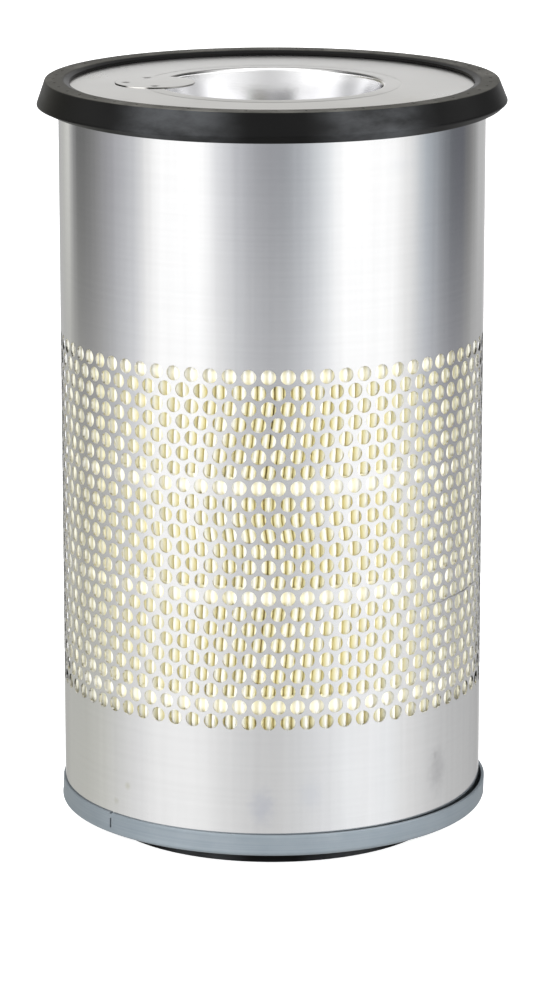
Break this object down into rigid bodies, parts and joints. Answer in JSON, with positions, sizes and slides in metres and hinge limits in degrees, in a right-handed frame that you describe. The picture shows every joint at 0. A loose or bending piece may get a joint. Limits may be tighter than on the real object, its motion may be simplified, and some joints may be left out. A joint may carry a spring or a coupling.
{
  "type": "round air filter element",
  "caption": "Round pleated air filter element with a perforated outer liner, a gasketed open end, and a closed end cap with a deep dish, a stud hole and a flared rubber ring.",
  "frame": {"origin": "centre of the gasket's lower face at the open end", "axes": "+Z along the element's axis from the open end to the closed end; -Y is the front, with the spot-welded disc towards -X"},
  "size_m": [0.2202, 0.2202, 0.3577],
  "materials": {
    "rubber": "matt black moulded rubber",
    "rim_steel": "dull blue-grey pressed steel",
    "cap_steel": "pale tinned steel, bright in the drawn dish",
    "liner_steel": "semi-bright zinc-coated sheet",
    "paper": "cream resin-treated filter paper",
    "glue": "pale hot-melt glue",
    "sealant": "dull grey cured sealant"
  },
  "bodies": {
    "root": {"open_end_gasket": "rubber", "open_end_cap": "rim_steel", "open_end_potting": "sealant", "outer_liner": "liner_steel", "inner_liner": "liner_steel", "pleated_media": "paper", "pleat_bead_1": "glue", "pleat_bead_2": "glue", "pleat_bead_3": "glue", "pleat_bead_4": "glue", "pleat_bead_5": "glue", "pleat_bead_6": "glue", "pleat_bead_7": "glue", "closed_end_potting": "sealant", "closed_end_cap": "cap_steel", "spot_welded_disc": "cap_steel", "seal_ring": "rubber"}
  },
  "joints": []
}
